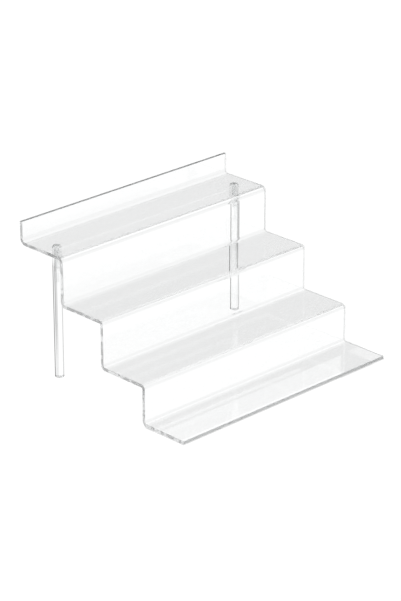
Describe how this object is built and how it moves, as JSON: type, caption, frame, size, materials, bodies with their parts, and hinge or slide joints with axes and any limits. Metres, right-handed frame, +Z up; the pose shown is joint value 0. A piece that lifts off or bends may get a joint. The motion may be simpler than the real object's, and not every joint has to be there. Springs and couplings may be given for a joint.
{
  "type": "stepped vanity organizer",
  "caption": "Free-standing clear acrylic stepped riser with deep tiers and a back lip, bent from one sheet and held up at the back by round screwed-on legs.",
  "frame": {"origin": "on the table, at the middle of the footprint (bottom centre of the bounding box)", "axes": "+X along the tiers, to the right of someone facing the stand; +Y from the front tier to the back lip; +Z up"},
  "size_m": [0.3, 0.2462, 0.1729],
  "materials": {
    "clear_sheet": "polished",
    "clear_rod": "polished",
    "clear_screw": "gloss"
  },
  "bodies": {
    "root": {"stepped_sheet": "clear_sheet", "left_leg": "clear_rod", "right_leg": "clear_rod", "leg_screws": "clear_screw"}
  },
  "joints": []
}
